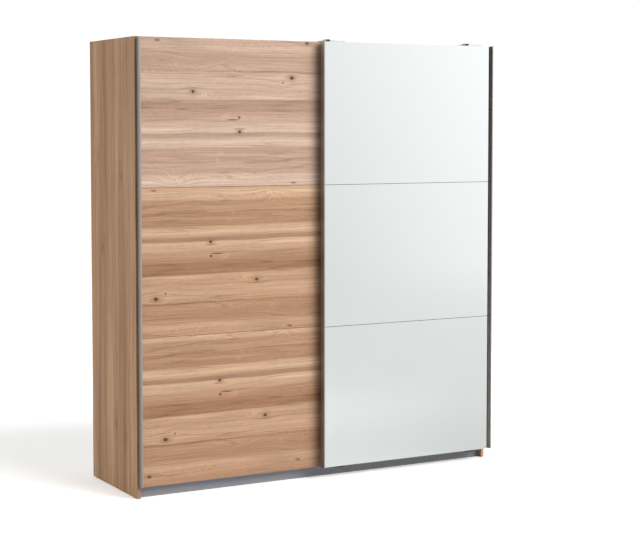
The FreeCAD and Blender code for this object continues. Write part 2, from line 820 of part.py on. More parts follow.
def door_screw_places(edge, back, plate_face):
    """Screws through the edge profiles, the seam flanges, the hanger plates and the guide plates."""
    spots = []
    flange_x = "((dim.profile_wall + dim.profile_back) / 2 + dim.flange_screw_shift)"
    for index in range(len(PANEL_NAMES)):
        for share in EDGE_SCREW_SHARES:
            level = f"{panel_low(index)} + {share} * {PANEL_HEIGHT}"
            spots.append((f"{edge} + {flange_x}", back, level))
            spots.append((f"{edge} + {DOOR_WIDTH} - {flange_x}", back, level))
    strip_start = f"{edge} + dim.profile_back + dim.strip_screw_inset"
    pitch = f"({STRIP_LENGTH} - 2 * dim.strip_screw_inset) / {STRIP_SCREWS - 1}"
    for index in (1, 2):
        for rise in ("-", "+"):
            level = f"{panel_low(index)} - dim.seam / 2 {rise} dim.seam_flange / 2"
            for step in range(STRIP_SCREWS):
                spots.append((f"{strip_start} + {step} * {pitch}", back, level))
    for start in HANGER_STARTS:
        for across in ("dim.plate_screw_inset", "(dim.hanger_length - dim.plate_screw_inset)"):
            for rise in ("dim.plate_screw_inset", "dim.hanger_screw_rise"):
                level = f"{HANGER_LOW} + {rise}"
                spots.append((f"{edge} + {start} + {across}", plate_face, level))
    for start in GUIDE_STARTS:
        for across in ("dim.plate_screw_inset", "(dim.guide_length - dim.plate_screw_inset)"):
            level = "dim.guide_top - dim.plate_screw_inset"
            spots.append((f"{edge} + {start} + {across}", plate_face, level))
    return [(spot, TO_MINUS_Y) for spot in spots]


def door(side, edge, back, left_lipped, right_lipped, panel_layers):
    """One door without its rollers: profiles, panels, seam strips and screws."""
    plate_face = f"({back} - dim.profile_wall + dim.plate)"
    spots = door_screw_places(edge, back, plate_face)
    screws = keep(copies(f"{side}_door_screws", screw, spots))
    height = "dim.door_height"
    left_kind, right_kind = ("handle" if lip else "edge" for lip in (left_lipped, right_lipped))
    left_name = f"{side}_door_left_{left_kind}_profile"
    right_name = f"{side}_door_right_{right_kind}_profile"
    left_profile = extrusion(
        f"{left_name}_blank", "XY_Plane", profile_section(1, left_lipped), height
    )
    right_profile = extrusion(
        f"{right_name}_blank", "XY_Plane", profile_section(-1, right_lipped), height
    )
    place(left_profile, (edge, back, "dim.door_low"))
    place(right_profile, (f"{edge} + {DOOR_WIDTH}", back, "dim.door_low"))
    keep(cut(left_name, left_profile, screws))
    keep(cut(right_name, right_profile, screws))
    for index, level_name in enumerate(PANEL_NAMES):
        front = f"{back} - dim.profile_wall"
        for layer, thickness in panel_layers:
            front = f"{front} - {thickness}"
            name = f"{side}_door_{level_name}_{layer}"
            size = (PANEL_WIDTH, thickness, PANEL_HEIGHT)
            blank = box(f"{name}_blank", (f"{edge} + {PANEL_START}", front, panel_low(index)), size)
            keep(cut(name, blank, screws))
    strips = [
        (f"{edge} + {PANEL_START}", back, f"{panel_low(index)} - dim.seam / 2") for index in (1, 2)
    ]
    strip_pair = copies(f"{side}_strips", strip_master, strips)
    keep(cut(f"{side}_door_joining_strips", strip_pair, screws))
    return screws


left_screws = door(
    "left", LEFT_DOOR_EDGE, REAR_DOOR_BACK, True, False, [("panel", "dim.board")]
)
right_screws = door(
    "right",
    RIGHT_DOOR_EDGE,
    FRONT_DOOR_BACK,
    True,
    True,
    [("backing", "(dim.board - dim.mirror_pane)"), ("mirror", "dim.mirror_pane")],
)

# ---- rollers -------------------------------------------------------------------------------------
roller = turned(
    "roller",
    [
        ("dim.axle_radius + dim.axle_play", "-dim.roller_width / 2"),
        ("dim.flange_radius", "-dim.roller_width / 2"),
        ("dim.flange_radius", "dim.flange_edge - dim.roller_width / 2"),
        ("dim.roller_radius", "dim.flange_root - dim.roller_width / 2"),
        ("dim.roller_radius", "dim.roller_width / 2 - dim.flange_root"),
        ("dim.flange_radius", "dim.roller_width / 2 - dim.flange_edge"),
        ("dim.flange_radius", "dim.roller_width / 2"),
        ("dim.axle_radius + dim.axle_play", "dim.roller_width / 2"),
    ],
)
for side, spots in (("left", left_rollers), ("right", right_rollers)):
    for index, spot in enumerate(spots, 1):
        keep(copies(f"{side}_door_roller_{index}", roller, [spot]))


# ---- hangers, axles and guides -------------------------------------------------------------------
def axle_section(length, plate_thick):
    """A riveted axle from the head beyond the roller (at 0) to its plate's far face."""
    shoulder = "(dim.axle_head + dim.roller_width + 2 * dim.collar_gap)"
    return [
        (0, 0),
        ("dim.collar_radius", 0),
        ("dim.collar_radius", "dim.axle_head"),
        ("dim.axle_radius", "dim.axle_head"),
        ("dim.axle_radius", shoulder),
        ("dim.collar_radius", shoulder),
        ("dim.collar_radius", f"{length} - {plate_thick}"),
        ("dim.axle_radius", f"{length} - {plate_thick}"),
        ("dim.axle_radius", length),
        (0, length),
    ]


def axles(side, spots, head, length, plate_thick, turn):
    """The four axles of a door, each starting at its head beyond the roller."""
    master = turned(f"{side}_axle", axle_section(length, plate_thick))
    return keep(copies(f"{side}_door_axles", master, [((x, head, z), turn) for x, _, z in spots]))


HEAD_REACH = "(dim.roller_width / 2 + dim.collar_gap + dim.axle_head)"
rear_plate_front = f"({REAR_DOOR_BACK} - dim.profile_wall)"
rear_head = f"({REAR_TRACK} + {HEAD_REACH})"
front_head = f"({FRONT_TRACK} - {HEAD_REACH})"
drop_back = f"({SIDE_FRONT} + dim.drop_start + dim.drop_thick)"
left_axles = axles(
    "left", left_rollers, rear_head, f"({rear_head} - {rear_plate_front})", "dim.plate", TO_MINUS_Y
)
right_axles = axles(
    "right", right_rollers, front_head, f"({drop_back} - {front_head})", "dim.drop_thick", PLAIN
)

rear_hanger = box(
    "rear_hanger", (0, 0, 0), ("dim.hanger_length", "dim.plate", f"dim.rear_hanger_top - {HANGER_LOW}")
)
rear_spots = [
    (f"{LEFT_DOOR_EDGE} + {start}", rear_plate_front, HANGER_LOW) for start in HANGER_STARTS
]
left_fixings = group("left_fixings", [left_screws, left_axles])
keep(cut("left_door_hangers", copies("rear_hanger_pair", rear_hanger, rear_spots), left_fixings))

front_plate_front = f"({FRONT_DOOR_BACK} - dim.profile_wall)"
web_reach = f"({drop_back} - {front_plate_front})"
web_rise = f"(dim.web_low - {HANGER_LOW})"
drop_low = f"({AXLE_HEIGHT} - dim.drop_below_axle - {HANGER_LOW})"
front_hanger = extrusion(
    "front_hanger",
    "YZ_Plane",
    [
        (0, 0),
        ("dim.plate", 0),
        ("dim.plate", web_rise),
        (f"{web_reach} - dim.drop_thick", web_rise),
        (f"{web_reach} - dim.drop_thick", drop_low),
        (web_reach, drop_low),
        (web_reach, f"{web_rise} + dim.web_thick"),
        (0, f"{web_rise} + dim.web_thick"),
    ],
    "dim.hanger_length",
)
front_spots = [
    (f"{RIGHT_DOOR_EDGE} + {start}", front_plate_front, HANGER_LOW) for start in HANGER_STARTS
]
right_fixings = group("right_fixings", [right_screws, right_axles])
keep(cut("right_door_hangers", copies("front_hanger_pair", front_hanger, front_spots), right_fixings))

web_top = "(dim.web_low + dim.web_thick)"
safety_block = extrusion(
    "safety_block",
    "YZ_Plane",
    [
        ("-dim.block_front", "dim.block_low"),
        (0, "dim.block_low"),
        (0, web_top),
        ("dim.block_back", web_top),
        ("dim.block_back", "dim.block_top"),
        ("-dim.block_front", "dim.block_top"),
    ],
    "dim.block_length",
)
block_spots = [(x, front_plate_front, 0) for x, _, _ in front_spots]
keep(copies("right_door_safety_blocks", safety_block, block_spots))


def guide_section(low, thick, fin_back, plate_front):
    """A plate on the door's back, an arm under the rail and a fin up into its groove."""
    fin_end = f"({fin_back} - {plate_front})"
    return [
        (0, low),
        (fin_end, low),
        (fin_end, "dim.fin_top"),
        (f"{fin_end} - dim.fin", "dim.fin_top"),
        (f"{fin_end} - dim.fin", f"{low} + {thick}"),
        ("dim.plate", f"{low} + {thick}"),
        ("dim.plate", "dim.guide_top"),
        (0, "dim.guide_top"),
    ]


def guides(side, edge, plate_front, low, thick, groove_centre, screws):
    """A door's two floor guides."""
    fin_back = f"({groove_centre} + dim.fin / 2)"
    section = guide_section(low, thick, fin_back, plate_front)
    master = extrusion(f"{side}_guide", "YZ_Plane", section, "dim.guide_length")
    spots = [(f"{edge} + {start}", plate_front, 0) for start in GUIDE_STARTS]
    keep(cut(f"{side}_door_guides", copies(f"{side}_guide_pair", master, spots), screws))


groove_centres = (
    f"({TRACK_FRONT} + dim.guide_wall + dim.groove / 2)",
    f"({TRACK_FRONT} + 3 * dim.guide_wall + 2.5 * dim.groove)",
)
guides(
    "left",
    LEFT_DOOR_EDGE,
    rear_plate_front,
    "dim.rear_arm_low",
    "dim.rear_arm_thick",
    groove_centres[0],
    left_screws,
)
guides(
    "right",
    RIGHT_DOOR_EDGE,
    front_plate_front,
    "dim.front_arm_low",
    "dim.front_arm_thick",
    groove_centres[1],
    right_screws,
)

# ---- checks and files ----------------------------------------------------------------------------
doc.recompute()
for item in doc.Objects:
    if "Invalid" in item.State or "Error" in item.State:
        raise RuntimeError(f"{item.Label}: {item.State}")
os.makedirs("parts", exist_ok=True)
for node in nodes:
    if node.Shape.isNull() or not node.Shape.isValid() or not node.Shape.Solids:
        raise RuntimeError(f"{node.Label} has no valid shape")
    node.Shape.exportStep(f"parts/{node.Label}.step")
print(f"{len(nodes)} sub-parts, {sum(len(node.Shape.Solids) for node in nodes)} solids")
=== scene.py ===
import math

import bpy
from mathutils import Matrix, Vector


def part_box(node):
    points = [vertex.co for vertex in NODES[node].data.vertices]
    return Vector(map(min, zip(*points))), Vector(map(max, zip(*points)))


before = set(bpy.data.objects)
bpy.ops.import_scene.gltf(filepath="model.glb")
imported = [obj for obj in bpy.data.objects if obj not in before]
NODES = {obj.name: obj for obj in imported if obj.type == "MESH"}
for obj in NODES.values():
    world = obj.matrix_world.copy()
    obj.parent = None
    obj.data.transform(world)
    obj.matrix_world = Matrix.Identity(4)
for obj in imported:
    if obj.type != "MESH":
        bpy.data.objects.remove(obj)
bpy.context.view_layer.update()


# ---------------------------------------------------------------- shader trees

def linear(red, green, blue, factor=1.0):
    """A display colour of 0 to 255 a channel as linear light, times factor."""
    out = []
    for value in (red, green, blue):
        share = value / 255
        share = share / 12.92 if share <= 0.04045 else ((share + 0.055) / 1.055) ** 2.4
        out.append(share * factor)
    return (*out, 1.0)


class Shader:
    """One material, with short calls for the nodes that it is made of."""

    def __init__(self, name, **constants):
        self.material = bpy.data.materials.new(name)
        self.material.use_nodes = True
        self.tree = self.material.node_tree
        self.tree.nodes.clear()
        self.output = self.node("ShaderNodeOutputMaterial")
        self.surface = self.node("ShaderNodeBsdfPrincipled")
        self.feed(self.output.inputs["Surface"], self.surface.outputs["BSDF"])
        for socket, value in constants.items():
            self.surface.inputs[socket.replace("_", " ")].default_value = value
        self.place = self.node("ShaderNodeTexCoord").outputs["Object"]

    def node(self, kind, **settings):
        made = self.tree.nodes.new(kind)
        for key, value in settings.items():
            setattr(made, key, value)
        return made

    def feed(self, socket, value):
        """Links a socket to another one, or sets it to a constant."""
        if isinstance(value, bpy.types.NodeSocket):
            self.tree.links.new(value, socket)
        else:
            socket.default_value = value

    def calculate(self, operation, *values):
        made = self.node("ShaderNodeMath", operation=operation)
        for socket, value in zip(made.inputs, values):
            self.feed(socket, value)
        return made.outputs[0]

    def add(self, *values):
        total = values[0]
        for value in values[1:]:
            total = self.calculate("ADD", total, value)
        return total

    def sub(self, a, b):
        return self.calculate("SUBTRACT", a, b)

    def mul(self, a, b):
        return self.calculate("MULTIPLY", a, b)

    def madd(self, a, b, c):
        """a * b + c."""
        return self.calculate("MULTIPLY_ADD", a, b, c)

    def axes(self):
        made = self.node("ShaderNodeSeparateXYZ")
        self.feed(made.inputs[0], self.place)
        return made.outputs

    def join(self, x, y, z=0.0):
        made = self.node("ShaderNodeCombineXYZ")
        for socket, value in zip(made.inputs, (x, y, z)):
            self.feed(socket, value)
        return made.outputs[0]

    def stretch(self, vector, factors):
        made = self.node("ShaderNodeVectorMath", operation="MULTIPLY")
        self.feed(made.inputs[0], vector)
        made.inputs[1].default_value = factors
        return made.outputs[0]

    def noise(self, vector, factors, detail=2.0, roughness=0.5):
        """Noise from 0 to 1, with cells of 1 / factors metres."""
        made = self.node("ShaderNodeTexNoise")
        self.feed(made.inputs["Vector"], self.stretch(vector, factors))
        made.inputs["Scale"].default_value = 1.0
        made.inputs["Detail"].default_value = detail
        made.inputs["Roughness"].default_value = roughness
        return made.outputs["Fac"]

    def cells(self, vector, factors, output="Color"):
        """Scattered cells of 1 / factors metres: their colours, or the distance to their centres."""
        made = self.node("ShaderNodeTexVoronoi", feature="F1")
        self.feed(made.inputs["Vector"], self.stretch(vector, factors))
        made.inputs["Scale"].default_value = 1.0
        return made.outputs[output]

    def ease(self, value, low, high, start=0.0, end=1.0):
        """Goes smoothly from start to end as value goes from low to high."""
        made = self.node("ShaderNodeMapRange", interpolation_type="SMOOTHSTEP")
        for socket, item in zip(made.inputs, (value, low, high, start, end)):
            self.feed(socket, item)
        return made.outputs[0]

    def ramp(self, value, stops):
        """A colour band, from stops of a place from 0 to 1 and a colour."""
        made = self.node("ShaderNodeValToRGB")
        self.feed(made.inputs[0], value)
        band = made.color_ramp
        while len(band.elements) < len(stops):
            band.elements.new(0.5)
        for element, (place, _) in zip(band.elements, stops):
            element.position = place
        for element, (_, colour) in zip(band.elements, stops):
            element.color = colour
        return made.outputs[0]

    def mix(self, share, first, second):
        made = self.node("ShaderNodeMix", data_type="RGBA", clamp_factor=True)
        self.feed(made.inputs[0], share)
        self.feed(made.inputs[6], first)
        self.feed(made.inputs[7], second)
        return made.outputs[2]

    def dim(self, colour, factor):
        """The colour times a number."""
        made = self.node("ShaderNodeVectorMath", operation="SCALE")
        self.feed(made.inputs[0], colour[:3] if isinstance(colour, tuple) else colour)
        self.feed(made.inputs["Scale"], factor)
        return made.outputs[0]

    def spot(self, u, v, centre, size):
        """A soft oval spot: 1 at its centre, falling off over size."""
        across = self.mul(self.sub(u, centre[0]), 1 / size[0])
        down = self.mul(self.sub(v, centre[1]), 1 / size[1])
        reach = self.madd(across, across, self.mul(down, down))
        return self.calculate("EXPONENT", self.mul(reach, -1.0))

    def bump(self, height, strength, distance):
        made = self.node("ShaderNodeBump")
        made.inputs["Strength"].default_value = strength
        made.inputs["Distance"].default_value = distance
        self.feed(made.inputs["Height"], height)
        self.feed(self.surface.inputs["Normal"], made.outputs[0])

    def paint(self, colour, roughness):
        self.feed(self.surface.inputs["Base Color"], colour)
        self.feed(self.surface.inputs["Roughness"], roughness)
        return self.material


# ---------------------------------------------------------------- oak decor foil

FOIL = 0.72                      # light that the foil returns, against its tone below
PALE = linear(220, 184, 152, FOIL)
LIGHT = linear(210, 171, 139, FOIL)
TAN = linear(198, 157, 126, FOIL)
MID = linear(190, 148, 117, FOIL)
BROWN = linear(182, 140, 110, FOIL)
RUSSET = linear(173, 129, 98, FOIL)
MAUVE = linear(178, 138, 114, FOIL)
KNOT = linear(80, 53, 42, FOIL)
RING = linear(120, 82, 62, FOIL)
UPPER_SHEEN_TINT = (1.06, 1.19, 1.42)       # the upper door panel's red, green and blue, against the other two: paler and bluer, a painted sheen of the light from above
UPPER_SHEEN_SHARE = 0.28               # how far its bands are evened out first, part of the same painted sheen
SWELL_REACH = (4.5, 2.8)         # how far the grain swells round a knot, against the knot's size
RING_REACH = (2.8, 2.2)          # how far the dark ring round a large knot goes
RINGED = 0.5                     # knots that swell by more than this have a ring

# The printed decor of a door panel, from its upper edge downwards, in metres.
MOTIF_HEIGHT = 0.68
BANDS = (
    (0.000, LIGHT), (0.022, PALE), (0.048, LIGHT), (0.056, MID), (0.096, TAN),
    (0.104, BROWN), (0.132, MID), (0.140, BROWN), (0.160, BROWN), (0.166, LIGHT),
    (0.192, PALE), (0.207, TAN), (0.211, MAUVE), (0.228, BROWN), (0.232, PALE),
    (0.266, LIGHT), (0.280, TAN), (0.296, MID), (0.312, BROWN), (0.330, RUSSET),
    (0.374, RUSSET), (0.379, LIGHT), (0.415, TAN), (0.450, LIGHT), (0.492, TAN),
    (0.498, RUSSET), (0.508, MID), (0.552, BROWN), (0.582, MID), (0.592, LIGHT),
    (0.620, TAN), (0.680, BROWN),
)
# Knots: centre, half length and half height, darkness, and how far the grain swells round it.
KNOTS = (
    ((0.330, 0.236), (0.0068, 0.0054), 1.00, 0.55),
    ((0.552, 0.409), (0.0070, 0.0062), 0.95, 0.60),
    ((0.072, 0.473), (0.0095, 0.0072), 0.90, 0.80),
    ((0.117, 0.451), (0.0050, 0.0045), 0.70, 0.35),
    ((0.332, 0.298), (0.0065, 0.0060), 0.75, 0.30),
    ((0.362, 0.288), (0.0280, 0.0026), 0.80, 0.00),
    ((0.065, 0.011), (0.0130, 0.0036), 0.65, 0.00),
    ((0.606, 0.333), (0.0300, 0.0022), 0.45, 0.00),
    ((0.716, 0.624), (0.0120, 0.0055), 0.60, 0.30),
    ((-0.004, 0.627), (0.0100, 0.0070), 0.75, 0.40),
    ((0.330, 0.249), (0.0300, 0.0014), 0.60, 0.00),
)
# Paler patches where the figure turns: centre, half length and half height, strength.
FLAMES = (
    ((0.436, 0.118), (0.0070, 0.0160), 0.20),
    ((0.424, 0.142), (0.0140, 0.0070), 0.16),
    ((0.500, 0.400), (0.0400, 0.0150), 0.26),
    ((0.400, 0.305), (0.0340, 0.0110), 0.20),
    ((0.350, 0.505), (0.0500, 0.0100), 0.14),
    ((0.640, 0.520), (0.0220, 0.0160), 0.16),
    ((0.620, 0.030), (0.0400, 0.0160), 0.18),
)
# Arched grain: centre of the arch, half length and half height, rise.
ARCHES = (
    ((0.640, 0.035), (0.0650, 0.0350), 0.030),
    ((0.270, 0.045), (0.0900, 0.0250), 0.016),
    ((0.400, 0.530), (0.1000, 0.0300), -0.018),
    ((0.700, 0.555), (0.0800, 0.0250), -0.020),
    ((0.130, 0.420), (0.0700, 0.0300), 0.018),
)
# Places where the grain curls: centre, half length and half height.
CURLS = (
    ((0.620, 0.035), (0.1000, 0.0220)),
    ((0.270, 0.045), (0.1100, 0.0180)),
    ((0.460, 0.505), (0.1500, 0.0160)),
    ((0.250, 0.612), (0.2200, 0.0160)),
    ((0.010, 0.430), (0.0450, 0.0240)),
    ((0.500, 0.402), (0.0600, 0.0160)),
    ((0.740, 0.500), (0.1300, 0.0240)),
    ((0.480, 0.628), (0.3000, 0.0110)),
    ((0.660, 0.140), (0.1200, 0.0120)),
)


def fibres(s, u, v, seed):
    """Streaks along the grain: their lightness around 1, from broad to fine, and the fine ones alone."""
    flow = s.join(u, v, seed)
    broad = s.noise(flow, (0.9, 34, 1), detail=2)
    streak = s.noise(flow, (1.6, 100, 1), detail=2)
    fine = s.noise(flow, (4.0, 240, 1), detail=2, roughness=0.6)
    mottle = s.noise(flow, (34, 130, 1), detail=2)
    hair = s.noise(flow, (26.0, 1600, 1), detail=1)
    total = s.madd(broad, 0.32, 0.02)
    total = s.madd(streak, 0.52, total)
    total = s.madd(fine, 0.74, total)
    total = s.madd(mottle, 0.24, total)
    return s.madd(hair, 0.14, total), fine


def grain_lines(s, u, v, seed):
    """Thin dark year lines: the level lines of a noise that is long in the grain, 0 to 1."""
    wide = s.noise(s.join(u, v, seed), (1.2, 24, 1), detail=2)
    tight = s.noise(s.join(u, v, seed + 3), (2.4, 60, 1), detail=2)
    first = s.ease(s.calculate("ABSOLUTE", s.sub(wide, 0.5)), 0.002, 0.024, 1.0, 0.0)
    second = s.ease(s.calculate("ABSOLUTE", s.sub(tight, 0.48)), 0.002, 0.040, 1.0, 0.0)
    where = s.ease(s.noise(s.join(u, v, seed + 5), (2.0, 12, 1), detail=1), 0.34, 0.60)
    return s.mul(s.madd(second, 0.55, first), where)


def foil_relief(s, u, v, fine, seed):
    """Embosses pores, which are short dashes along the grain, and says where they are."""
    flow = s.join(u, v, seed)
    dash = s.noise(flow, (70, 1500, 1), detail=1)
    pore = s.ease(dash, 0.60, 0.72)
    height = s.madd(fine, 0.35, s.mul(pore, -0.6))
    s.bump(height, 0.25, 0.0004)
    return pore


def door_oak(name, u_of, v_of, sheen_tint=None):
    """The horizontal decor. u_of and v_of are the factor and shift from x and z to the motif's place."""
    s = Shader(name, Specular_IOR_Level=0.22, IOR=1.5)
    x, _, z = s.axes()
    u = s.madd(x, u_of[0], u_of[1])
    v = s.madd(z, v_of[0], v_of[1])
    slow = s.noise(s.join(u, v, 1.7), (0.9, 3.0, 1), detail=1)
    quick = s.noise(s.join(u, v, 5.2), (3.0, 24.0, 1), detail=2)
    wander = s.madd(s.sub(slow, 0.5), 0.030, s.mul(s.sub(quick, 0.5), 0.014))
    flow = s.add(v, wander)
    share = s.mul(flow, 1 / MOTIF_HEIGHT)
    colour = s.ramp(share, [(place / MOTIF_HEIGHT, tone) for place, tone in BANDS])
    # painted sheen on the upper panel: its bands are evened out towards LIGHT, then tinted paler and bluer
    if sheen_tint:
        colour = s.stretch(s.mix(UPPER_SHEEN_SHARE, colour, LIGHT), sheen_tint)
    for centre, size, rise in ARCHES:
        flow = s.madd(s.spot(u, v, centre, size), rise, flow)
    for centre, size, _, swell in KNOTS:
        if swell:
            halo = s.spot(u, v, centre, (size[0] * SWELL_REACH[0], size[1] * SWELL_REACH[1]))
            pull = s.mul(s.sub(v, centre[1]), -swell)
            flow = s.madd(halo, pull, flow)
    light, fine = fibres(s, u, flow, 3.1)
    light = s.madd(grain_lines(s, u, flow, 8.8), -0.20, light)
    curl = s.noise(s.join(u, flow, 2.2), (9.0, 38.0, 1), detail=1)
    loops = s.ease(s.calculate("SINE", s.mul(curl, 85.0)), 0.1, 0.95)
    where = 0.0
    for centre, size in CURLS:
        where = s.calculate("MAXIMUM", where, s.spot(u, v, centre, size))
    light = s.madd(s.mul(loops, where), -0.20, s.madd(where, 0.07, light))
    wave = s.noise(s.join(u, v, 4.4), (110, 60, 1), detail=2)
    for centre, size, strength in FLAMES:
        shine = s.mul(s.spot(u, v, centre, size), s.ease(wave, 0.38, 0.62, -0.25, 1.0))
        light = s.madd(shine, strength, light)
    colour = s.dim(colour, light)
    jag = s.madd(s.noise(s.join(u, v, 6.1), (230, 380, 1), detail=2), 2.4, -0.25)
    for centre, size, dark, swell in KNOTS:
        if swell > RINGED:
            ring = s.spot(u, v, centre, (size[0] * RING_REACH[0], size[1] * RING_REACH[1]))
            colour = s.mix(s.mul(s.mul(ring, jag), 0.55), colour, RING)
        core = s.ease(s.mul(s.spot(u, v, centre, size), jag), 0.10, 0.55, 0.0, dark)
        colour = s.mix(core, colour, KNOT)
    pore = foil_relief(s, u, flow, fine, 2.0)
    colour = s.mix(s.mul(pore, 0.16), colour, RING)
    return s.paint(colour, s.madd(fine, 0.10, 0.44))


def board_oak(name, along, seed):
    """The plainer decor of the carcass boards, with its grain along one axis."""
    s = Shader(name, Specular_IOR_Level=0.18, IOR=1.5)
    axes = s.axes()
    u = axes["XYZ".index(along)]
    rest = [axes[i] for i in range(3) if "XYZ"[i] != along]
    v = s.add(rest[0], rest[1])
    slow = s.noise(s.join(u, v, seed), (0.9, 5.0, 1), detail=2)
    quick = s.noise(s.join(u, v, seed + 4), (3.5, 24.0, 1), detail=2)
    flow = s.add(v, s.madd(s.sub(slow, 0.5), 0.050, s.mul(s.sub(quick, 0.5), 0.008)))
    tone = s.noise(s.join(u, flow, seed + 9), (0.5, 17.0, 1), detail=3, roughness=0.6)
    colour = s.ramp(tone, (
        (0.30, linear(164, 123, 90, FOIL)), (0.42, linear(180, 138, 103, FOIL)),
        (0.50, linear(192, 151, 115, FOIL)), (0.58, linear(201, 161, 125, FOIL)),
        (0.70, linear(210, 172, 138, FOIL)),
    ))
    light, fine = fibres(s, u, flow, seed + 2)
    light = s.madd(grain_lines(s, u, flow, seed + 6), -0.12, light)
    away = s.cells(s.join(u, flow, seed), (2.6, 9.0, 1), output="Distance")
    knot = s.ease(away, 0.020, 0.075, 0.55, 0.0)
    ring = s.ease(away, 0.05, 0.30, 0.22, 0.0)
    colour = s.dim(colour, light)
    colour = s.mix(ring, colour, linear(128, 90, 64, FOIL))
    colour = s.mix(knot, colour, linear(84, 58, 42, FOIL))
    pore = foil_relief(s, u, flow, fine, seed + 1)
    colour = s.mix(s.mul(pore, 0.16), colour, RING)
    return s.paint(colour, s.madd(fine, 0.10, 0.46))


# ---------------------------------------------------------------- the other materials

def brushed(name, colour, along, roughness):
    """Satin metal with fine lines along one axis."""
    s = Shader(name, Metallic=0.85, Specular_IOR_Level=0.5, IOR=1.5)
    factors = [900.0] * 3
    factors["XYZ".index(along)] = 5.0
    lines = s.noise(s.place, factors, detail=2)
    cloud = s.noise(s.place, (9, 9, 3), detail=2)
    tone = s.madd(lines, 0.14, s.madd(cloud, 0.08, 0.89))
    s.bump(lines, 0.10, 0.0002)
    shade = s.madd(lines, 0.10, s.madd(cloud, 0.06, roughness - 0.05))
    return s.paint(s.dim(colour, tone), shade)


SILVER = (0.80, 0.832, 0.829, 1.0)
WIPED = (0.78, 0.812, 0.809, 1.0)


def mirror(name):
    """Silvered float glass, with a faint haze where it has been wiped."""
    s = Shader(name, Metallic=1.0)
    haze = s.noise(s.place, (2.2, 2.2, 1.4), detail=3, roughness=0.6)
    wiped = s.noise(s.place, (14, 14, 60), detail=2)
    smear = s.mul(s.ease(haze, 0.50, 0.75), wiped)
    colour = s.mix(smear, SILVER, WIPED)
    return s.paint(colour, s.madd(smear, 0.020, 0.006))


def plinth(name):
    """Plain grey foil over board, with a faint tooth."""
    s = Shader(name, Specular_IOR_Level=0.40, IOR=1.5)
    tooth = s.noise(s.place, (700, 700, 700), detail=2)
    cloud = s.noise(s.place, (6, 6, 20), detail=3)
    lines = s.noise(s.place, (12, 400, 400), detail=2)
    tone = s.madd(tooth, 0.10, s.madd(cloud, 0.10, s.madd(lines, 0.08, 0.86)))
    s.bump(tooth, 0.20, 0.0003)
    return s.paint(s.dim(linear(154, 156, 164), tone), s.madd(tooth, 0.12, 0.42))


def chipboard(name):
    """Pressed chips of several tones."""
    s = Shader(name, Specular_IOR_Level=0.30, IOR=1.45)
    warp = s.noise(s.place, (80, 80, 80), detail=2)
    chips = s.cells(s.place, (260, 260, 420), output="Color")
    split = s.node("ShaderNodeSeparateColor")
    s.feed(split.inputs[0], chips)
    shade = s.madd(warp, 0.5, s.mul(split.outputs[0], 0.5))
    colour = s.ramp(shade, (
        (0.15, linear(138, 116, 88)), (0.45, linear(170, 148, 118)),
        (0.60, linear(190, 170, 140)), (0.85, linear(212, 196, 170)),
    ))
    s.bump(shade, 0.45, 0.0006)
    return s.paint(colour, s.madd(shade, 0.2, 0.65))


def linen(name):
    """Thin fibreboard printed with a fine weave."""
    s = Shader(name, Specular_IOR_Level=0.35, IOR=1.5)
    warp = s.noise(s.place, (900, 900, 40), detail=2)
    weft = s.noise(s.place, (40, 40, 900), detail=2)
    cloud = s.noise(s.place, (3, 3, 3), detail=2)
    weave = s.add(s.mul(warp, 0.5), s.mul(weft, 0.5))
    colour = s.ramp(weave, (
        (0.32, linear(188, 181, 168)), (0.50, linear(206, 200, 188)), (0.66, linear(222, 217, 206)),
    ))
    s.bump(weave, 0.35, 0.0004)
    return s.paint(s.dim(colour, s.madd(cloud, 0.10, 0.95)), s.madd(weave, 0.2, 0.50))


def beech(name):
    """Raw beech dowel, with short flecks along it."""
    s = Shader(name, Specular_IOR_Level=0.30, IOR=1.45)
    lines = s.noise(s.place, (60, 900, 900), detail=3)
    flecks = s.ease(s.noise(s.place, (300, 2200, 2200), detail=1), 0.58, 0.70)
    colour = s.ramp(lines, ((0.35, linear(196, 158, 116)), (0.65, linear(222, 190, 150))))
    s.bump(lines, 0.3, 0.0004)
    return s.paint(s.mix(s.mul(flecks, 0.4), colour, linear(150, 108, 74)), s.madd(lines, 0.2, 0.55))


def plated(name, colour, roughness, spangle=0.25):
    """Zinc or chrome plate over pressed steel, with a soft crystal pattern."""
    s = Shader(name, Metallic=1.0)
    crystals = s.cells(s.place, (150, 150, 150), output="Color")
    split = s.node("ShaderNodeSeparateColor")
    s.feed(split.inputs[0], crystals)
    cloud = s.noise(s.place, (60, 60, 60), detail=3)
    tone = s.madd(split.outputs[0], spangle * 0.4, s.madd(cloud, 0.12, 0.94 - spangle * 0.2))
    s.bump(cloud, 0.12, 0.0003)
    shade = s.madd(split.outputs[1], spangle * 0.5, s.madd(cloud, 0.06, roughness))
    return s.paint(s.dim(colour, tone), shade)


def moulded(name, colour, roughness):
    """Moulded plastic with a fine spark-eroded tooth."""
    s = Shader(name, Specular_IOR_Level=0.45, IOR=1.47)
    grit = s.noise(s.place, (500, 500, 500), detail=2)
    cloud = s.noise(s.place, (30, 30, 30), detail=2)
    s.bump(grit, 0.25, 0.0003)
    tone = s.madd(grit, 0.16, s.madd(cloud, 0.12, 0.86))
    return s.paint(s.dim(colour, tone), s.madd(grit, 0.14, roughness - 0.07))


# ---------------------------------------------------------------- dressing the CAD nodes

LOWER_SHIFT = (-0.041, 0.032)    # metres that the motif moves in the lower panel, along it and down
UPPER_SHIFT = -0.109             # and in the upper panel, along it


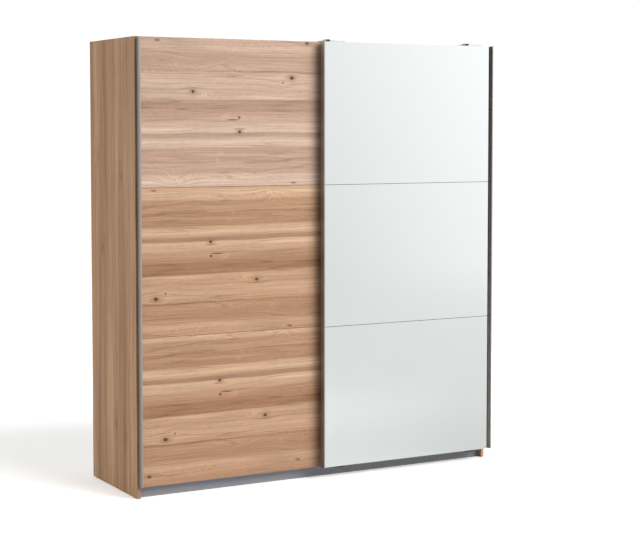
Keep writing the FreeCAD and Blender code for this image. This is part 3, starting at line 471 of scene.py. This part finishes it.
def left_door_oaks():
    """The three panels share one motif: shifted in the lower one, turned by half a turn in the upper one."""
    made = {}
    low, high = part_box("left_door_middle_panel")
    made["left_door_middle_panel"] = door_oak(
        "oak_door_middle", (1.0, -low.x), (-1.0, high.z))
    low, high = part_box("left_door_bottom_panel")
    made["left_door_bottom_panel"] = door_oak(
        "oak_door_bottom", (1.0, LOWER_SHIFT[0] - low.x), (-1.0, high.z + LOWER_SHIFT[1]))
    # the upper panel gets a painted sheen, a paler and bluer tint for the light from above
    low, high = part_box("left_door_top_panel")
    made["left_door_top_panel"] = door_oak(
        "oak_door_top", (-1.0, high.x + UPPER_SHIFT), (1.0, -low.z), UPPER_SHEEN_TINT)
    return made


ALUMINIUM = linear(160, 155, 151)
BOARD_GRAIN = {
    "top_panel": "X", "bottom_panel": "X", "left_shelf": "X", "right_shelf": "X",
}
SLOT_MATERIALS = {
    "plinth_grey": plinth("plinth_grey_foil"),
    "board_back": chipboard("chipboard_pale"),
    "back_linen": linen("fibreboard_linen"),
    "dowel_beech": beech("beech_raw"),
    "mirror_silver": mirror("mirror_silvered"),
    "aluminium_profile": brushed("aluminium_satin", ALUMINIUM, "Z", 0.34),
    "zinc_steel": plated("steel_zinc_plated", linear(200, 201, 203), 0.26),
    "chrome_tube": plated("chrome_bright", linear(226, 227, 230), 0.05, spangle=0.04),
    "zinc_cast": plated("zinc_die_cast", linear(188, 188, 192), 0.36, spangle=0.12),
    "black_plastic": moulded("plastic_black", linear(42, 42, 43), 0.42),
    "white_plastic": moulded("nylon_white", linear(232, 231, 226), 0.38),
    "brown_strip": moulded("strip_brown", linear(118, 66, 36), 0.45),
    "grey_strip": moulded("strip_grey", linear(26, 27, 27), 0.45),
}
RAIL_METAL = brushed("aluminium_rail", ALUMINIUM, "X", 0.30)
OAK_PANELS = left_door_oaks()


def material_for(name, slot_name):
    """The material of a CAD node: its own where it has one, otherwise its slot's."""
    if name in OAK_PANELS:
        return OAK_PANELS[name]
    if slot_name == "side_oak":
        seed = 2.0 + 3.7 * sorted(NODES).index(name)
        return board_oak("oak_" + name, BOARD_GRAIN.get(name, "Z"), seed)
    if name in ("top_running_rail", "bottom_guide_rail"):
        return RAIL_METAL
    return SLOT_MATERIALS[slot_name]


for name, obj in NODES.items():
    slot_name = obj.material_slots[0].material.name.split(".")[0]
    made = material_for(name, slot_name)
    for slot in obj.material_slots:
        slot.material = made


# ---------------------------------------------------------------- floor, light and camera

PAPER = (0.90, 0.90, 0.897, 1.0)
GLOW = 0.42                      # light that the floor gives off
FADE = (2.0, 13.0)               # metres from the middle at which the floor starts and ends fading out
MIRRORED_AT = (-2.4, -0.5)       # y of a far and a near place in front of the object
MIRRORED = (-0.36, -0.46)        # how its brightness in a reflection changes at those two: darker nearer the object, a painted shade
BOUNCED_PAPER = -0.38            # how the light that it scatters onto other surfaces changes
BOUNCED_GLOW = -0.69             # and the light that it gives off onto them


def floor():
    """A pale round floor that glows and fades out far away, dimmer in reflections than to the eye."""
    verts, faces = [], []
    radii = (0.5, 1.0, 2.0, 3.5, 5.5, 8.0, 11.0, 15.0)
    steps = 64
    verts.append((0.0, 0.0, 0.0))
    for radius in radii:
        for i in range(steps):
            turn = 2 * math.pi * i / steps
            verts.append((radius * math.cos(turn), radius * math.sin(turn), 0.0))
    for i in range(steps):
        faces.append((0, 1 + i, 1 + (i + 1) % steps))
    for ring in range(len(radii) - 1):
        inner, outer = 1 + ring * steps, 1 + (ring + 1) * steps
        for i in range(steps):
            j = (i + 1) % steps
            faces.append((inner + i, outer + i, outer + j, inner + j))
    mesh = bpy.data.meshes.new("floor")
    mesh.from_pydata(verts, [], faces)
    obj = bpy.data.objects.new("floor", mesh)
    bpy.context.scene.collection.objects.link(obj)
    s = Shader("floor_white", Specular_IOR_Level=0.0, Emission_Strength=GLOW)
    x, y, _ = s.axes()
    away = s.calculate("SQRT", s.madd(x, x, s.mul(y, y)))
    cloud = s.noise(s.place, (1.5, 1.5, 1.5), detail=3)
    path = s.node("ShaderNodeLightPath").outputs
    # painted shade: in reflections the floor is dimmed, and dimmed most near the object
    mirrored = s.mul(path["Is Glossy Ray"], s.ease(y, *MIRRORED_AT, *MIRRORED))
    tone = s.mul(s.add(mirrored, 1.0), s.madd(cloud, 0.02, 0.99))
    paper = s.mul(tone, s.madd(path["Is Diffuse Ray"], BOUNCED_PAPER, 1.0))
    given = s.mul(tone, s.madd(path["Is Diffuse Ray"], BOUNCED_GLOW, 1.0))
    s.paint(s.dim(PAPER, paper), 0.8)
    s.feed(s.surface.inputs["Emission Color"], s.dim((1.0, 1.0, 1.0), given))
    clear = s.node("ShaderNodeBsdfTransparent")
    blend = s.node("ShaderNodeMixShader")
    s.feed(blend.inputs[0], s.ease(away, *FADE))
    s.feed(blend.inputs[1], s.surface.outputs[0])
    s.feed(blend.inputs[2], clear.outputs[0])
    s.feed(s.output.inputs["Surface"], blend.outputs[0])
    mesh.materials.append(s.material)


def studio():
    """A room that is white to the eye, and brighter to the right in its soft light and its reflections."""
    world = bpy.data.worlds.new("studio")
    bpy.context.scene.world = world
    world.use_nodes = True
    tree = world.node_tree
    tree.nodes.clear()
    link = tree.links.new

    def glow(direction, low, high, dark, bright):
        """A background that goes from dark to bright towards a direction."""
        place = tree.nodes.new("ShaderNodeTexCoord")
        toward = tree.nodes.new("ShaderNodeVectorMath")
        toward.operation = "DOT_PRODUCT"
        toward.inputs[1].default_value = Vector(direction).normalized()
        span = tree.nodes.new("ShaderNodeMapRange")
        for socket, value in zip(span.inputs[1:5], (low, high, dark, bright)):
            socket.default_value = value
        light = tree.nodes.new("ShaderNodeBackground")
        link(place.outputs["Generated"], toward.inputs[0])
        link(toward.outputs["Value"], span.inputs[0])
        link(span.outputs[0], light.inputs[1])
        return light

    soft = glow((0.95, -0.25, 0.35), low=-0.80, high=1.0, dark=0.16, bright=0.70)
    broad = glow((0.88, 0.36, 0.31), low=-0.75, high=0.25, dark=0.20, bright=1.23)
    narrow = glow((0.894, 0.0, 0.447), low=0.38, high=0.60, dark=0.0, bright=0.42)
    gloss = tree.nodes.new("ShaderNodeAddShader")
    link(broad.outputs[0], gloss.inputs[0])
    link(narrow.outputs[0], gloss.inputs[1])
    white = tree.nodes.new("ShaderNodeBackground")
    white.inputs[0].default_value = (1.05, 1.05, 1.05, 1.0)
    path = tree.nodes.new("ShaderNodeLightPath")
    shared = tree.nodes.new("ShaderNodeMixShader")
    seen = tree.nodes.new("ShaderNodeMixShader")
    out = tree.nodes.new("ShaderNodeOutputWorld")
    link(path.outputs["Is Glossy Ray"], shared.inputs[0])
    link(soft.outputs[0], shared.inputs[1])
    link(gloss.outputs[0], shared.inputs[2])
    link(path.outputs["Is Camera Ray"], seen.inputs[0])
    link(shared.outputs[0], seen.inputs[1])
    link(white.outputs[0], seen.inputs[2])
    link(seen.outputs[0], out.inputs[0])


def sun_light(name, azimuth, elevation, strength, width, colour):
    """A distant light, azimuth degrees to the right of the front and width degrees across."""
    data = bpy.data.lights.new(name, "SUN")
    data.energy = strength
    data.angle = math.radians(width)
    data.color = colour
    obj = bpy.data.objects.new(name, data)
    bpy.context.scene.collection.objects.link(obj)
    turn, tilt = math.radians(azimuth), math.radians(elevation)
    source = Vector((math.sin(turn) * math.cos(tilt), -math.cos(turn) * math.cos(tilt), math.sin(tilt)))
    obj.rotation_euler = source.to_track_quat("Z", "Y").to_euler()


def near_light(name, place, target, size, power):
    """A square soft light near the doors, seen by no camera and in no mirror."""
    data = bpy.data.lights.new(name, "AREA")
    data.energy = power
    data.size = size
    obj = bpy.data.objects.new(name, data)
    bpy.context.scene.collection.objects.link(obj)
    obj.location = place
    obj.rotation_euler = (Vector(place) - Vector(target)).to_track_quat("Z", "Y").to_euler()
    obj.visible_camera = False
    obj.visible_glossy = False


def camera():
    """The photograph's viewing angle."""
    data = bpy.data.cameras.new("camera")
    data.sensor_width = 36.0
    data.lens = 88.53
    data.shift_y = -0.075
    obj = bpy.data.objects.new("camera", data)
    bpy.context.scene.collection.objects.link(obj)
    yaw, pitch = math.radians(29.106), math.radians(-3.356)
    obj.location = (-3.447, -6.408, 1.585)
    obj.rotation_euler = (math.pi / 2 + pitch, 0.0, -yaw)
    bpy.context.scene.camera = obj


floor()
studio()
sun_light("key", azimuth=32, elevation=38, strength=2.98, width=38, colour=(1.0, 0.99, 0.97))
sun_light("side", azimuth=-112, elevation=12, strength=1.75, width=30, colour=(1.0, 0.985, 0.96))
near_light("fill", place=(0.8, -1.9, 2.2), target=(-0.3, -0.25, 1.3), size=1.4, power=17.0)
camera()
bpy.context.scene.view_settings.view_transform = "Standard"
